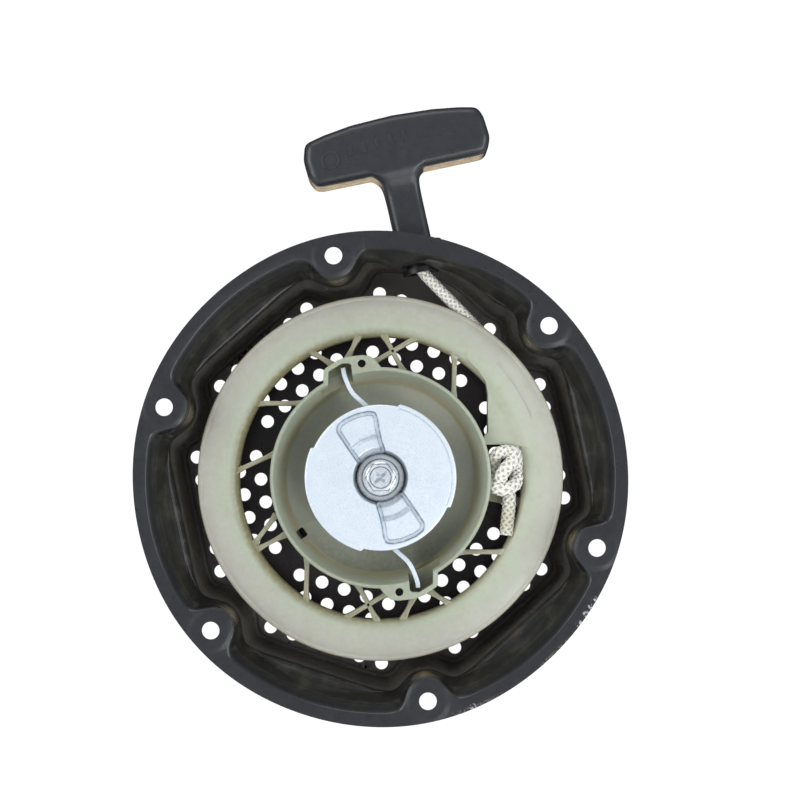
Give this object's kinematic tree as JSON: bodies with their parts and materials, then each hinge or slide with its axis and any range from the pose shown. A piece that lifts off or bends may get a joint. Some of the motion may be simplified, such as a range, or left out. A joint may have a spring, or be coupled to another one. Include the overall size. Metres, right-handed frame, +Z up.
{
  "type": "recoil starter",
  "caption": "Pull-rope recoil starter for a small engine: pressed steel dome, rope reel with ratchet claws, recoil spring and T handle.",
  "frame": {"origin": "centre of the bolt circle, on the flange's mounting face", "axes": "+Y along the starter's axis from the engine side into the dome, +Z up towards the pull handle, +X right as seen from the engine"},
  "size_m": [0.225, 0.0535, 0.2842],
  "materials": {
    "black_paint": "gloss black enamel over pressed steel",
    "natural_nylon": "natural translucent nylon, satin",
    "zinc_plate": "bright zinc plated pressing",
    "zinc_steel": "zinc plated turned steel",
    "spring_steel": "blued spring steel, oiled",
    "bronze": "sintered bronze",
    "rope": "white braided nylon rope",
    "grip_plastic": "charcoal moulded plastic, satin",
    "black_nylon": "black nylon, smooth"
  },
  "bodies": {
    "housing": {"housing_shell": "black_paint", "centre_post": "zinc_steel", "plate_washer": "zinc_steel", "centre_screw": "zinc_steel", "rope_guide": "black_nylon", "rope_run": "rope"},
    "reel": {"reel": "natural_nylon", "reel_bush": "bronze", "rope_wraps": "rope", "rope_knot": "rope", "recoil_spring": "spring_steel", "friction_spring": "spring_steel", "claw_pin_a": "zinc_steel", "claw_pin_b": "zinc_steel", "claw_spring_a": "spring_steel", "claw_spring_b": "spring_steel"},
    "plate": {"friction_plate": "zinc_plate"},
    "claw_a": {"claw_a": "zinc_plate"},
    "claw_b": {"claw_b": "zinc_plate"},
    "handle": {"handle": "grip_plastic", "grip_reinforcement": "zinc_steel", "rope_in_handle": "rope", "handle_knot": "rope"}
  },
  "joints": [
    {"name": "reel_spin", "type": "hinge", "parent": "housing", "child": "reel", "pos_m": [0, 0.03, 0], "axis": [0, -1, 0], "range_deg": [0, 1020], "stiffness_Nm_per_rad": 0.02, "springref_deg": -687.55, "deforming": ["recoil_spring"]},
    {"name": "handle_pull", "type": "slide", "parent": "housing", "child": "handle", "axis": [-0.2181, 0, 0.9759], "range_m": [0, 1.3405]},
    {"name": "plate_turn", "type": "hinge", "parent": "reel", "child": "plate", "pos_m": [0, 0.012, 0], "axis": [0, -1, 0], "range_deg": [0, 46]},
    {"name": "claw_a_swing", "type": "hinge", "parent": "reel", "child": "claw_a", "pos_m": [0.011, 0.02, 0.0175], "axis": [0, -1, 0], "range_deg": [0, 51], "deforming": ["claw_spring_a"]},
    {"name": "claw_b_swing", "type": "hinge", "parent": "reel", "child": "claw_b", "pos_m": [-0.011, 0.02, -0.0175], "axis": [0, -1, 0], "range_deg": [0, 51], "deforming": ["claw_spring_b"]}
  ],
  "couplings": [
    {"joint": "handle_pull", "follows": "reel_spin", "m_per_rad": 0.0753},
    {"joint": "claw_a_swing", "follows": "plate_turn", "ratio": 1.1087},
    {"joint": "claw_b_swing", "follows": "plate_turn", "ratio": 1.1087}
  ]
}
